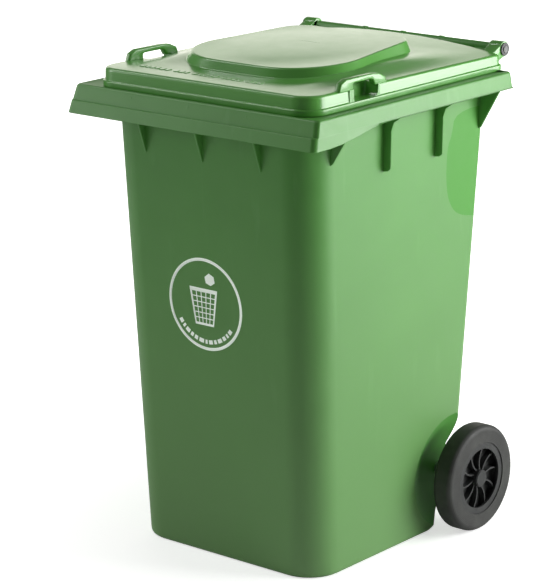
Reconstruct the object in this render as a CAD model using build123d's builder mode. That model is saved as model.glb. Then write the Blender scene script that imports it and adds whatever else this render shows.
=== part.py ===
"""A two-wheeled litter bin with a hinged lid: every moulding, pin, axle and wheel piece as its own solid.

Millimetres. X is the width, Y runs from the front (negative) to the handle (positive), Z is up from
the ground.
The origin is on the ground under the middle of the whole bin.
"""
import math
import os

from build123d import *

os.makedirs("parts", exist_ok=True)

# ---------------------------------------------------------------- driving dimensions
# Rim: the flat collar round the container's mouth, with a seat for the lid a little lower.
rim_height = 1000.0
rim_width = 651.0
rim_depth = 658.0
rim_corner = 12.0
rim_plate = 5.0
seat_drop = 5.0
seat_margin = 4.0
rim_land = 3.0

# Skirt: the flared apron that hangs from the rim. It is deepest along the front.
skirt_wall = 5.0
skirt_flare_side = 8.0
skirt_flare_front = 19.0
skirt_flare_rear = 3.0
skirt_drop_front = 59.0
skirt_drop_side = 34.0
skirt_step_start = 40.0
skirt_step_end = 205.0

# Body: a tapered tub.
wall = 5.0
floor_thickness = 8.0
floor_width = 502.0
floor_depth = 492.0
floor_front_inset = 77.0
mouth_side_inset = 50.5
mouth_front_inset = 36.5
mouth_rear_inset = 8.3
front_corner = 77.0
rear_corner = 30.0

# Ribs under the skirt.
rib_thickness = 4.0
rib_root = 1.0
front_rib_pitch = 155.0
front_rib_centre = -10.0
front_rib_bottom = 868.0
side_rib_depth = 18.0
side_rib_bottom = 843.0
side_rib_bevel = 8.0
side_rib_places = (282.0, 459.0)
corner_rib_places = (110.0, 616.0)
corner_rib_bottoms = (885.0, 877.0)

# Wheel wells and the axle's channel across the underside.
well_radius = 132.0
well_depth = 38.0
bracket_thickness = 10.0
inner_bracket_x = 90.0
bracket_margin = 12.0
channel_front_gap = 28.0
channel_top_gap = 30.0
channel_slope = 0.55
heel_start = 80.0
heel_rise = 32.0

# Wheels and axle.
tyre_radius = 118.0
tyre_width = 48.0
tyre_seat_radius = 80.0
tyre_shoulder = 12.0
wheel_face_inset = 1.5
axle_from_rear = 104.8
axle_radius = 10.0
axle_clearance = 0.08
axle_end_chamfer = 1.0
running_clearance = 0.05
press_gap = 0.02
bush_wall = 3.0
hub_radius = 19.0
hub_width = 46.0
hub_recess_radius = 15.5
hub_recess_depth = 11.0
rim_band_width = 44.0
rim_band_wall = 6.0
rim_lip_width = 5.0
rim_lip_depth = 14.0
web_thickness = 4.0
spoke_count = 10
spoke_thickness = 3.5
spoke_height = 13.0
spoke_bow = 9.0
side_play = 0.3
washer_thickness = 2.0
washer_radius = 15.0
ring_thickness = 2.0
ring_radius = 13.0
ring_mouth = 9.0
groove_depth = 1.5
axle_overhang = 3.0
cap_wall = 1.6
cap_depth = 3.0
cap_radius = 17.0
spacer_wall = 3.0

# Handle and hinge.
hinge_above_rim = 35.0
hinge_behind_lid = 24.5
handle_radius = 11.0
arm_inner_x = 202.0
arm_width = 36.0
arm_thickness = 11.0
arm_web_thickness = 20.0
arm_web_gap = 2.0
prop_x = 105.0
prop_thickness = 7.0
knuckle_gap = 2.0
knuckle_width = 32.0
knuckle_radius = 17.0
pin_radius = 7.0
pin_bore = 3.5
pin_head_radius = 14.0
pin_head_thickness = 3.0
pin_engagement = 26.0
pin_clearance = 0.05
plug_head_radius = 7.0
plug_head_thickness = 1.5
plug_short = 4.0

# Lid.
lid_side_inset = 32.5
lid_front_inset = 20.6
lid_rear_overhang = 21.5
lid_seat_gap = 0.6
lid_skirt_height = 34.0
lid_front_corner = 55.0
lid_rear_corner = 25.0
lid_wall = 4.0
lid_crown = 8.0
pad_width = 390.0
pad_depth = 330.0
pad_corner = 60.0
pad_foot = 20.0
pad_taper = 8.0
pad_rise = 20.0
pad_crown = 20.4
grip_front_gap = 118.0
grip_length = 162.0
grip_thickness = 22.0
grip_rise = 27.0
grip_bar = 11.0
grip_post = 42.0
grip_floor_drop = 28.0
grip_pocket_drop = 21.0
grip_pocket_reach = 12.0

# Emblem.
emblem_radius = 100.0
emblem_ring = 6.0
emblem_thickness = 0.4
emblem_height = 562.0
emblem_x = -19.0
emblem_line = 8.0
emblem_can_width = 62.0
emblem_can_height = 74.0
emblem_lid_width = 80.0

# ---------------------------------------------------------------- places worked out from them
beyond = 60.0
over = 1.0

rear_reach = lid_rear_overhang + hinge_behind_lid + knuckle_radius
rim_centre_y = (skirt_flare_front - rear_reach) / 2
rim_front = rim_centre_y - rim_depth / 2
rim_rear = rim_centre_y + rim_depth / 2
half_rim = rim_width / 2
seat_z = rim_height - seat_drop
plate_under = seat_z - rim_plate
skirt_bottom = rim_height - skirt_drop_front
skirt_side_bottom = rim_height - skirt_drop_side

mouth_width = rim_width - 2 * mouth_side_inset
mouth_front = rim_front + mouth_front_inset
mouth_rear = rim_rear - mouth_rear_inset
floor_front = rim_front + floor_front_inset
floor_rear = floor_front + floor_depth

lid_width = rim_width - 2 * lid_side_inset
half_lid = lid_width / 2
lid_front = rim_front + lid_front_inset
lid_rear = rim_rear + lid_rear_overhang
lid_bottom = seat_z + lid_seat_gap
lid_shoulder = lid_bottom + lid_skirt_height
lid_top = lid_shoulder + lid_crown
pad_top = lid_top + pad_rise
pad_summit = pad_top + pad_crown
pad_centre_y = (lid_front + lid_rear) / 2

hinge_y = lid_rear + hinge_behind_lid
hinge_z = rim_height + hinge_above_rim
handle_half = arm_inner_x + arm_width
knuckle_inner = handle_half + knuckle_gap
knuckle_outer = knuckle_inner + knuckle_width

axle_y = rim_rear - axle_from_rear
axle_z = tyre_radius
axle_line = Axis((0, axle_y, axle_z), (1, 0, 0))
wheel_outer_x = half_rim + skirt_flare_side - wheel_face_inset
wheel_mid_x = wheel_outer_x - tyre_width / 2
hub_inner_x = wheel_mid_x - hub_width / 2
hub_outer_x = wheel_mid_x + hub_width / 2
bush_radius = axle_radius + running_clearance + bush_wall
washer_x = hub_outer_x - hub_recess_depth + side_play
ring_x = washer_x + washer_thickness
axle_half = ring_x + ring_thickness + axle_overhang
well_x = floor_width / 2 - well_depth
channel_front = axle_y - channel_front_gap
channel_top = axle_z + channel_top_gap
channel_rear = floor_rear + beyond


def wall_front(height):
    """Y of the body's front wall at a height."""
    return floor_front + (mouth_front - floor_front) * height / seat_z


def wall_rear(height):
    """Y of the body's rear wall at a height."""
    return floor_rear + (mouth_rear - floor_rear) * height / seat_z


def wall_side(height):
    """Half the body's width at a height."""
    return (floor_width + (mouth_width - floor_width) * height / seat_z) / 2


def channel_roof(place_y):
    """Height of the axle channel's roof, which climbs towards the rear."""
    return channel_top + (place_y - channel_front) * channel_slope


def outline(height, width, front, rear, corner_front, corner_rear):
    """A level plan outline with its own corner radii at the front and the rear."""
    with BuildSketch(Plane.XY.offset(height)) as section:
        with Locations((0, (front + rear) / 2)):
            Rectangle(width, rear - front)
        fillet(section.vertices().group_by(Axis.Y)[0], corner_front)
        fillet(section.vertices().group_by(Axis.Y)[-1], corner_rear)
    return section.sketch


def lofted(lower, upper):
    """The solid between two plan outlines."""
    with BuildPart() as block:
        add(lower)
        add(upper)
        loft()
    return block.part


def tub_section(height, inset):
    """The body's plan outline at a height, moved inwards by inset."""
    return outline(
        height,
        2 * (wall_side(height) - inset),
        wall_front(height) + inset,
        wall_rear(height) - inset,
        front_corner - inset,
        rear_corner - inset,
    )


def skirt_section(height, inset):
    """The rim's and skirt's outer plan outline at a height, moved inwards by inset."""
    flare = (rim_height - height) / skirt_drop_front
    return outline(
        height,
        rim_width + 2 * (skirt_flare_side * flare - inset),
        rim_front - skirt_flare_front * flare + inset,
        rim_rear + skirt_flare_rear * flare - inset,
        rim_corner - inset / 2,
        rim_corner - inset / 2,
    )


def side_face(place_x, points):
    """A face drawn in Y and Z on the plane at an X."""
    with BuildSketch(Plane.YZ.offset(place_x)) as drawn:
        with BuildLine():
            Polyline(*points, close=True)
        make_face()
    return drawn.sketch


# ---------------------------------------------------------------- container
rim_block = lofted(skirt_section(skirt_bottom, 0.0), skirt_section(rim_height, 0.0))
rim_hollow = lofted(skirt_section(skirt_bottom - over, skirt_wall), skirt_section(plate_under, skirt_wall))
seat_slope = lofted(
    outline(
        seat_z,
        lid_width + 2 * seat_margin,
        lid_front - seat_margin,
        rim_rear + beyond,
        lid_front_corner,
        rim_corner,
    ),
    outline(
        rim_height + over,
        rim_width - 2 * rim_land,
        rim_front + rim_land,
        rim_rear + beyond,
        rim_corner,
        rim_corner,
    ),
)
tub = lofted(tub_section(0.0, 0.0), tub_section(seat_z, 0.0))
tub_hollow = lofted(tub_section(floor_thickness, wall), tub_section(rim_height + over, wall))

with BuildPart() as collar:
    add(rim_block)
    add(rim_hollow, mode=Mode.SUBTRACT)
    # Along the sides and the rear the skirt is shallower, with a slanted step just behind the front corners.
    step_points = [
        (rim_front + skirt_step_start, skirt_bottom - over),
        (rim_front + skirt_step_start, skirt_bottom),
        (rim_front + skirt_step_end, skirt_side_bottom),
        (rim_rear + beyond, skirt_side_bottom),
        (rim_rear + beyond, skirt_bottom - over),
    ]
    add(side_face(-half_rim - beyond, step_points))
    extrude(amount=rim_width + 2 * beyond, dir=(1, 0, 0), mode=Mode.SUBTRACT)
    # The rim's top slopes down inwards to the seat that the lid rests on, open at the rear.
    add(seat_slope, mode=Mode.SUBTRACT)

with BuildPart() as cavity:
    add(tub_hollow)
    # The wheel wells and the axle's channel reach into the tub, with a wall round each.
    for side in (-1, 1):
        with BuildSketch(Plane.YZ.offset(side * (well_x - wall))):
            with Locations((axle_y, axle_z)):
                Circle(well_radius + wall)
        extrude(amount=side * rim_width, mode=Mode.SUBTRACT)
    channel_shell_points = [
        (axle_y - heel_start - bracket_margin, -over),
        (axle_y - heel_start - bracket_margin, floor_thickness + bracket_thickness),
        (channel_front - wall, heel_rise + 2 * floor_thickness),
        (channel_front - wall, channel_top + wall),
        (channel_rear, channel_roof(channel_rear) + wall),
        (channel_rear, -over),
    ]
    add(side_face(-well_x, channel_shell_points))
    extrude(amount=2 * well_x, dir=(1, 0, 0), mode=Mode.SUBTRACT)

with BuildPart() as container:
    add(tub)
    add(collar.part)
    # Ribs under the front of the skirt, tapering down the front wall.
    for rib_x in [front_rib_centre + place * front_rib_pitch for place in (-1, 0, 1)]:
        front_rib_points = [
            (wall_front(front_rib_bottom) + rib_root, front_rib_bottom),
            (wall_front(plate_under) + rib_root, plate_under + rib_root),
            (rim_front, plate_under + rib_root),
            (rim_front + skirt_wall / 2 - skirt_flare_front, skirt_bottom + rib_root),
        ]
        add(side_face(rib_x - rib_thickness / 2, front_rib_points))
        extrude(amount=rib_thickness, dir=(1, 0, 0))
    # Ribs along both sides: two narrow ones that widen under the rim, and a tapering one near each corner.
    for side in (-1, 1):
        for rib_y in [rim_front + place for place in side_rib_places]:
            with BuildSketch(Plane.XZ.offset(-rib_y - rib_thickness / 2)):
                with BuildLine():
                    Polyline(
                        (side * (wall_side(side_rib_bottom) - rib_root), side_rib_bottom),
                        (
                            side * (wall_side(side_rib_bottom) + side_rib_depth),
                            side_rib_bottom + side_rib_bevel,
                        ),
                        (side * (wall_side(skirt_bottom) + side_rib_depth), skirt_bottom - side_rib_bevel),
                        (side * (half_rim + rib_root), skirt_side_bottom + rib_root),
                        (side * (half_rim - rib_root), plate_under + rib_root),
                        (side * (wall_side(plate_under) - rib_root), plate_under + rib_root),
                        close=True,
                    )
                make_face()
            extrude(amount=rib_thickness)
        for rib_place, rib_bottom in zip(corner_rib_places, corner_rib_bottoms):
            with BuildSketch(Plane.XZ.offset(-rim_front - rib_place - rib_thickness / 2)):
                with BuildLine():
                    Polyline(
                        (side * (wall_side(rib_bottom) - rib_root), rib_bottom),
                        (side * (half_rim + rib_root), skirt_side_bottom + rib_root),
                        (side * (half_rim - rib_root), plate_under + rib_root),
                        (side * (wall_side(plate_under) - rib_root), plate_under + rib_root),
                        close=True,
                    )
                make_face()
            extrude(amount=rib_thickness)
    add(cavity.part, mode=Mode.SUBTRACT)
    # Wheel wells, open outwards and below.
    for side in (-1, 1):
        with BuildSketch(Plane.YZ.offset(side * well_x)):
            with Locations((axle_y, axle_z)):
                Circle(well_radius)
        extrude(amount=side * rim_width, mode=Mode.SUBTRACT)
    # The heel: the underside rises behind the floor, up to the outer brackets.
    heel_y = axle_y - heel_start
    heel_points = [
        (heel_y, -over),
        (heel_y, 0.0),
        (heel_y + heel_rise, heel_rise * 0.6),
        (channel_front, heel_rise),
        (channel_front + bracket_margin, axle_z - axle_radius - 2 * bracket_margin),
        (axle_y + axle_radius + bracket_margin, axle_z - axle_radius - 2 * bracket_margin),
        (channel_rear, axle_z - axle_radius - bracket_margin),
        (channel_rear, -over),
    ]
    add(side_face(-rim_width, heel_points))
    extrude(amount=2 * rim_width, dir=(1, 0, 0), mode=Mode.SUBTRACT)
    # The channel between the outer brackets, open below and behind.
    channel_points = [
        (channel_front, -over),
        (channel_front, channel_top),
        (channel_rear, channel_roof(channel_rear)),
        (channel_rear, -over),
    ]
    add(side_face(bracket_thickness - well_x, channel_points))
    extrude(amount=2 * (well_x - bracket_thickness), dir=(1, 0, 0), mode=Mode.SUBTRACT)
    bracket_front = channel_front - wall / 2
    bracket_rear = axle_y + axle_radius + bracket_margin
    bracket_points = [
        (bracket_front, axle_z - axle_radius - 2 * bracket_margin),
        (bracket_front, channel_roof(bracket_front) + wall / 2),
        (bracket_rear, channel_roof(bracket_rear) + wall / 2),
        (bracket_rear, axle_z - axle_radius - bracket_margin),
    ]
    for bracket_x in (-inner_bracket_x, inner_bracket_x):
        add(side_face(bracket_x - bracket_thickness / 2, bracket_points))
        extrude(amount=bracket_thickness, dir=(1, 0, 0))
    with BuildSketch(Plane.YZ.offset(-well_x - over)):
        with Locations((axle_y, axle_z)):
            Circle(axle_radius + axle_clearance)
    extrude(amount=2 * (well_x + over), mode=Mode.SUBTRACT)
    # Arms behind the rim at both ends of the handle, and three slim props between them.
    arm_bottom = skirt_side_bottom + arm_web_gap
    arm_front = hinge_y - handle_radius
    arm_rear = arm_front + arm_thickness
    arm_points = [
        (rim_rear - arm_web_gap, arm_bottom),
        (rim_rear - arm_web_gap, arm_bottom + arm_web_thickness),
        (arm_front, arm_bottom + arm_web_thickness),
        (arm_front, hinge_z),
        (arm_rear, hinge_z),
        (arm_rear, arm_bottom + arm_web_thickness / 2),
        (arm_rear - arm_web_thickness / 2, arm_bottom),
    ]
    arm_places = [
        (-handle_half, arm_width),
        (arm_inner_x, arm_width),
        (-prop_x - prop_thickness / 2, prop_thickness),
        (-prop_thickness / 2, prop_thickness),
        (prop_x - prop_thickness / 2, prop_thickness),
    ]
    for arm_x, arm_extent in arm_places:
        add(side_face(arm_x, arm_points))
        extrude(amount=arm_extent, dir=(1, 0, 0))
    with BuildSketch(Plane.YZ.offset(-handle_half)):
        with Locations((hinge_y, hinge_z)):
            Circle(handle_radius)
    extrude(amount=2 * handle_half)
    for side in (-1, 1):
        with BuildSketch(Plane.YZ.offset(side * handle_half)):
            with Locations((hinge_y, hinge_z)):
                Circle(pin_radius + pin_clearance)
        extrude(amount=-side * (pin_engagement + over), mode=Mode.SUBTRACT)

container.part.label = "container"
export_step(container.part, "parts/container.step")

# ---------------------------------------------------------------- lid
lid_shell = lofted(
    outline(lid_bottom, lid_width, lid_front, lid_rear, lid_front_corner, lid_rear_corner),
    outline(lid_shoulder, lid_width, lid_front, lid_rear, lid_front_corner, lid_rear_corner),
)
foot_half = pad_depth / 2 + pad_foot
lid_crown_block = lofted(
    outline(lid_shoulder, lid_width, lid_front, lid_rear, lid_front_corner, lid_rear_corner),
    outline(
        lid_top,
        pad_width + 2 * pad_foot,
        pad_centre_y - foot_half,
        pad_centre_y + foot_half,
        pad_corner,
        pad_corner,
    ),
)


def pad_section(height, inset):
    """The raised pad's plan outline, moved inwards by inset."""
    half = pad_depth / 2 - inset
    return outline(
        height,
        pad_width - 2 * inset,
        pad_centre_y - half,
        pad_centre_y + half,
        pad_corner - inset / 2,
        pad_corner - inset / 2,
    )


summit_inset = pad_depth / 4
pad_sides = lofted(pad_section(lid_shoulder, 0.0), pad_section(pad_top, pad_taper))
pad_roof = lofted(pad_section(pad_top, pad_taper), pad_section(pad_summit, summit_inset))
inner_width = lid_width - 2 * lid_wall
lid_hollow = lofted(
    outline(
        lid_bottom - over, inner_width, lid_front + lid_wall, lid_rear - lid_wall,
        lid_front_corner - lid_wall, lid_rear_corner - lid_wall,
    ),
    outline(
        lid_shoulder - lid_wall, inner_width, lid_front + lid_wall, lid_rear - lid_wall,
        lid_front_corner - lid_wall, lid_rear_corner - lid_wall,
    ),
)
pad_hollow = lofted(
    pad_section(lid_shoulder - lid_wall - over, pad_taper + lid_wall),
    pad_section(pad_top - lid_wall, pad_taper + lid_wall),
)
roof_hollow = lofted(
    pad_section(pad_top - lid_wall, pad_taper + lid_wall),
    pad_section(pad_summit - lid_wall, summit_inset),
)
grip_front = rim_front + grip_front_gap
grip_rear = grip_front + grip_length
grip_middle = (grip_front + grip_rear) / 2

with BuildPart() as lid:
    add(lid_shell)
    add(lid_crown_block)
    add(pad_sides)
    add(pad_roof)
    add(lid_hollow, mode=Mode.SUBTRACT)
    add(pad_hollow, mode=Mode.SUBTRACT)
    add(roof_hollow, mode=Mode.SUBTRACT)
    for side in (-1, 1):
        # A lifting grip: a raised loop along the lid's edge over a pocket that opens outwards.
        with Locations(
            (side * (half_lid - grip_thickness), grip_middle, lid_shoulder - grip_floor_drop / 2)
        ):
            Box(2 * grip_thickness, grip_length, grip_floor_drop)
        grip_points = [
            (grip_front, lid_shoulder - over),
            (grip_front + grip_bar, lid_shoulder + grip_rise),
            (grip_rear - grip_post, lid_shoulder + grip_rise),
            (grip_rear, lid_shoulder + grip_rise / 2),
            (grip_rear, lid_shoulder - over),
        ]
        add(side_face(side * (half_lid - grip_thickness / 2) - grip_thickness / 2, grip_points))
        extrude(amount=grip_thickness, dir=(1, 0, 0))
        pocket_points = [
            (grip_front + grip_post, lid_shoulder - grip_pocket_drop),
            (grip_front + grip_post, lid_shoulder + grip_rise - grip_bar),
            (grip_rear - grip_post - grip_bar, lid_shoulder + grip_rise - grip_bar),
            (grip_rear - grip_post, lid_shoulder - grip_pocket_drop),
        ]
        pocket_inner = side * (half_lid - grip_thickness - grip_pocket_reach)
        pocket_outer = side * (half_lid + over)
        add(side_face(min(pocket_inner, pocket_outer), pocket_points))
        extrude(amount=abs(pocket_outer - pocket_inner), dir=(1, 0, 0), mode=Mode.SUBTRACT)
        # A hinge knuckle behind the rear corner, reaching back from the lid's rear edge.
        knuckle_points = [
            (lid_rear - 2 * knuckle_radius, lid_shoulder - lid_wall / 2),
            (lid_rear - knuckle_radius / 2, lid_shoulder + lid_wall),
            (hinge_y, hinge_z + knuckle_radius - over),
            (hinge_y, hinge_z - knuckle_radius + over),
            (lid_rear - lid_wall / 2, lid_shoulder - knuckle_radius),
        ]
        knuckle_low_x = min(side * knuckle_inner, side * knuckle_outer)
        add(side_face(knuckle_low_x, knuckle_points))
        extrude(amount=knuckle_width, dir=(1, 0, 0))
        with BuildSketch(Plane.YZ.offset(side * knuckle_inner)):
            with Locations((hinge_y, hinge_z)):
                Circle(knuckle_radius)
        extrude(amount=side * knuckle_width)
        with BuildSketch(Plane.YZ.offset(side * (knuckle_inner - over))):
            with Locations((hinge_y, hinge_z)):
                Circle(pin_radius + pin_clearance)
        extrude(amount=side * (knuckle_width + 2 * over), mode=Mode.SUBTRACT)

lid.part.label = "lid"
export_step(lid.part, "parts/lid.step")

# ---------------------------------------------------------------- axle
with BuildPart() as axle:
    with BuildSketch(Plane.YZ.offset(-axle_half)):
        with Locations((axle_y, axle_z)):
            Circle(axle_radius)
    extrude(amount=2 * axle_half)
    chamfer(axle.edges().filter_by(GeomType.CIRCLE), axle_end_chamfer)
    # Grooves for the retaining rings.
    for groove_x in (-ring_x - ring_thickness, ring_x):
        with BuildSketch(Plane.YZ.offset(groove_x)):
            with Locations((axle_y, axle_z)):
                Circle(axle_radius + over)
                Circle(axle_radius - groove_depth, mode=Mode.SUBTRACT)
        extrude(amount=ring_thickness, mode=Mode.SUBTRACT)
axle.part.label = "axle"
export_step(axle.part, "parts/axle.step")

# ---------------------------------------------------------------- emblem
wall_lean = math.degrees(math.atan2(mouth_front - floor_front, seat_z))
emblem_plane = Plane(
    origin=(emblem_x, wall_front(emblem_height), emblem_height),
    x_dir=(1, 0, 0),
    z_dir=(0, -math.cos(math.radians(wall_lean)), math.sin(math.radians(wall_lean))),
)
line_y = -emblem_radius * 0.55
line_half = math.sqrt((emblem_radius - emblem_ring / 2) ** 2 - line_y**2)

with BuildPart() as front_emblem:
    with BuildSketch(emblem_plane):
        Circle(emblem_radius)
        Circle(emblem_radius - emblem_ring, mode=Mode.SUBTRACT)
        # A plain can with a lid, standing on a line that runs from ring to ring.
        with Locations((0, line_y)):
            Rectangle(2 * line_half, emblem_line)
        with Locations((0, line_y + emblem_can_height / 2)):
            Rectangle(emblem_can_width, emblem_can_height)
        with Locations((0, line_y + emblem_can_height + emblem_line / 2)):
            Rectangle(emblem_lid_width, emblem_line)
    extrude(amount=emblem_thickness)
front_emblem.part.label = "front_emblem"
export_step(front_emblem.part, "parts/front_emblem.step")

# ---------------------------------------------------------------- pieces that come in a left and a right
pin_tip = handle_half - pin_engagement
rim_inner = tyre_seat_radius - rim_band_wall
spoke_start = hub_radius - rib_root
spoke_end = rim_inner + rib_root
spoke_arc = ThreePointArc((spoke_start, 0), ((spoke_start + spoke_end) / 2, spoke_bow), (spoke_end, 0))

for side, side_name in ((-1, "left"), (1, "right")):
    # Hinge pin: a hollow pin with a flat head, and a plug pushed into it from outside.
    with BuildPart() as hinge_pin:
        with BuildSketch(Plane.YZ.offset(side * pin_tip)):
            with Locations((hinge_y, hinge_z)):
                Circle(pin_radius)
        extrude(amount=side * (knuckle_outer - pin_tip))
        with BuildSketch(Plane.YZ.offset(side * knuckle_outer)):
            with Locations((hinge_y, hinge_z)):
                Circle(pin_head_radius)
        extrude(amount=side * pin_head_thickness)
        with BuildSketch(Plane.YZ.offset(side * (pin_tip - over))):
            with Locations((hinge_y, hinge_z)):
                Circle(pin_bore)
        extrude(amount=side * (knuckle_outer - pin_tip + pin_head_thickness + 2 * over), mode=Mode.SUBTRACT)
    hinge_pin.part.label = "hinge_pin_" + side_name
    export_step(hinge_pin.part, "parts/hinge_pin_" + side_name + ".step")

    with BuildPart() as hinge_plug:
        with BuildSketch(Plane.YZ.offset(side * (pin_tip + plug_short))):
            with Locations((hinge_y, hinge_z)):
                Circle(pin_bore - press_gap)
        extrude(amount=side * (knuckle_outer + pin_head_thickness - pin_tip - plug_short))
        with BuildSketch(Plane.YZ.offset(side * (knuckle_outer + pin_head_thickness))):
            with Locations((hinge_y, hinge_z)):
                Circle(plug_head_radius)
        extrude(amount=side * plug_head_thickness)
    hinge_plug.part.label = "hinge_plug_" + side_name
    export_step(hinge_plug.part, "parts/hinge_plug_" + side_name + ".step")

    # Wheel centre: hub, web, rim band with two lips, and bowed spokes standing out from the web.
    with BuildPart() as wheel_centre:
        with BuildSketch(Plane.XY.offset(axle_z)):
            with Locations((side * wheel_mid_x, axle_y + (bush_radius + press_gap + hub_radius) / 2)):
                Rectangle(hub_width, hub_radius - bush_radius - press_gap)
            with Locations((side * wheel_mid_x, axle_y + (hub_radius + rim_inner) / 2)):
                Rectangle(web_thickness, rim_inner - hub_radius + 2 * rib_root)
            with Locations((side * wheel_mid_x, axle_y + tyre_seat_radius - rim_band_wall / 2)):
                Rectangle(rim_band_width, rim_band_wall)
            for lip in (-1, 1):
                lip_x = side * wheel_mid_x + lip * (rim_band_width - rim_lip_width) / 2
                with Locations((lip_x, axle_y + tyre_seat_radius - rim_lip_depth / 2)):
                    Rectangle(rim_lip_width, rim_lip_depth)
        revolve(axis=axle_line)
        with BuildSketch(Plane.YZ.offset(side * (wheel_mid_x - web_thickness / 2))):
            with Locations((axle_y, axle_z)):
                with PolarLocations(0, spoke_count):
                    SlotArc(spoke_arc, spoke_thickness)
        extrude(amount=side * (web_thickness + spoke_height))
        with BuildSketch(Plane.YZ.offset(side * hub_outer_x)):
            with Locations((axle_y, axle_z)):
                Circle(hub_recess_radius)
        extrude(amount=-side * hub_recess_depth, mode=Mode.SUBTRACT)
    wheel_centre.part.label = "wheel_centre_" + side_name
    export_step(wheel_centre.part, "parts/wheel_centre_" + side_name + ".step")

    with BuildPart() as tyre:
        with BuildSketch(Plane.XY.offset(axle_z)) as tyre_profile:
            with Locations((side * wheel_mid_x, axle_y + (tyre_radius + tyre_seat_radius + press_gap) / 2)):
                Rectangle(tyre_width, tyre_radius - tyre_seat_radius - press_gap)
            fillet(tyre_profile.vertices().group_by(Axis.Y)[-1], tyre_shoulder)
        revolve(axis=axle_line)
    tyre.part.label = "tyre_" + side_name
    export_step(tyre.part, "parts/tyre_" + side_name + ".step")

    with BuildPart() as hub_bush:
        with BuildSketch(Plane.YZ.offset(side * hub_inner_x)):
            with Locations((axle_y, axle_z)):
                Circle(bush_radius)
                Circle(axle_radius + running_clearance, mode=Mode.SUBTRACT)
        extrude(amount=side * (hub_width - hub_recess_depth))
    hub_bush.part.label = "hub_bush_" + side_name
    export_step(hub_bush.part, "parts/hub_bush_" + side_name + ".step")

    with BuildPart() as spacer:
        with BuildSketch(Plane.YZ.offset(side * well_x)):
            with Locations((axle_y, axle_z)):
                Circle(axle_radius + running_clearance + spacer_wall)
                Circle(axle_radius + running_clearance, mode=Mode.SUBTRACT)
        extrude(amount=side * (hub_inner_x - side_play - well_x))
    spacer.part.label = "spacer_" + side_name
    export_step(spacer.part, "parts/spacer_" + side_name + ".step")

    with BuildPart() as washer:
        with BuildSketch(Plane.YZ.offset(side * washer_x)):
            with Locations((axle_y, axle_z)):
                Circle(washer_radius)
                Circle(axle_radius + running_clearance, mode=Mode.SUBTRACT)
        extrude(amount=side * washer_thickness)
    washer.part.label = "washer_" + side_name
    export_step(washer.part, "parts/washer_" + side_name + ".step")

    with BuildPart() as retaining_ring:
        with BuildSketch(Plane.YZ.offset(side * ring_x)):
            with Locations((axle_y, axle_z)):
                Circle(ring_radius)
                Circle(axle_radius - groove_depth + press_gap, mode=Mode.SUBTRACT)
            with Locations((axle_y, axle_z - ring_radius)):
                Rectangle(ring_mouth, 2 * ring_radius - 2 * (axle_radius - groove_depth), mode=Mode.SUBTRACT)
        extrude(amount=side * ring_thickness)
    retaining_ring.part.label = "retaining_ring_" + side_name
    export_step(retaining_ring.part, "parts/retaining_ring_" + side_name + ".step")

    with BuildPart() as hub_cap:
        with BuildSketch(Plane.YZ.offset(side * hub_outer_x)):
            with Locations((axle_y, axle_z)):
                Circle(cap_radius)
        extrude(amount=side * cap_wall)
        with BuildSketch(Plane.YZ.offset(side * hub_outer_x)):
            with Locations((axle_y, axle_z)):
                Circle(hub_recess_radius - press_gap)
                Circle(hub_recess_radius - press_gap - cap_wall, mode=Mode.SUBTRACT)
        extrude(amount=-side * cap_depth)
    hub_cap.part.label = "hub_cap_" + side_name
    export_step(hub_cap.part, "parts/hub_cap_" + side_name + ".step")
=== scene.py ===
import math

import bmesh
import bpy
from mathutils import Matrix, Vector


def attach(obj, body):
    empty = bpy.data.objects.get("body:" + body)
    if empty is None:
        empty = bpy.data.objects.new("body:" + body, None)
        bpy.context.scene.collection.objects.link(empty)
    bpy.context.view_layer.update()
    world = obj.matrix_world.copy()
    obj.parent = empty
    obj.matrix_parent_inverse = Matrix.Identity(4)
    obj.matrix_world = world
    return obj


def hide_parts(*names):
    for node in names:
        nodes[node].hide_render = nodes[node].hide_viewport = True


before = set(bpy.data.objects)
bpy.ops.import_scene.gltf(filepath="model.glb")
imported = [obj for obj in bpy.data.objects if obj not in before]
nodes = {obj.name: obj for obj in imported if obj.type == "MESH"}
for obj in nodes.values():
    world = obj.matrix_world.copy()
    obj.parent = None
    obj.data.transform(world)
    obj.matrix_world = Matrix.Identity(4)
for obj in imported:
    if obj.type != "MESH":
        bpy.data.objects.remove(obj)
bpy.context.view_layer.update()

# ================================================================ Container
# The tub of a two-wheeled litter bin: one green polyethylene moulding with a flared collar, ribs under the
# collar, a recess for each wheel and brackets for the axle. It is injected in one shot, grained outside and a
# little rougher in the recesses, and it carries all the rest.

RIM_Z = 1.000
RIM_HALF = 0.3255
RIM_FRONT = -0.351
RIM_REAR = 0.307
FLARE = {"side": 0.008, "front": 0.019, "rear": 0.003}
FLARE_HEIGHT = 0.059
SKIRT_WALL = 0.005
SKIRT_BOTTOM = 0.941
PLATE_UNDER = 0.990
FRONT_CORNER = 0.077
REAR_CORNER = 0.030
WALL = 0.005
FOOT_HALF, FOOT_FRONT, FOOT_REAR = 0.251, -0.274, 0.218
TAPER_SIDE, TAPER_FRONT, TAPER_REAR = 0.024, 0.0405, 0.0807
TAPER_HEIGHT = 0.995
SEAT = {"half": 0.2972, "front": -0.3345, "rear": 0.3065, "corner_front": 0.057, "corner_rear": 0.004}
SEAT_Z = 0.9962
TUB_FLOOR = 0.008
AXLE = Vector((0.0, 0.2022, 0.118))
AXLE_BORE = 0.0101
SHARP_EDGE = math.radians(35.0)
ROUND_STEPS = 96
CORNER_STEPS, ACROSS_STEPS, ALONG_STEPS = 9, 8, 17


def wall_side(z):
    """Half the tub's width at a height."""
    return FOOT_HALF + TAPER_SIDE * z / TAPER_HEIGHT


def wall_front(z):
    """Y of the tub's front wall at a height."""
    return FOOT_FRONT - TAPER_FRONT * z / TAPER_HEIGHT


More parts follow.
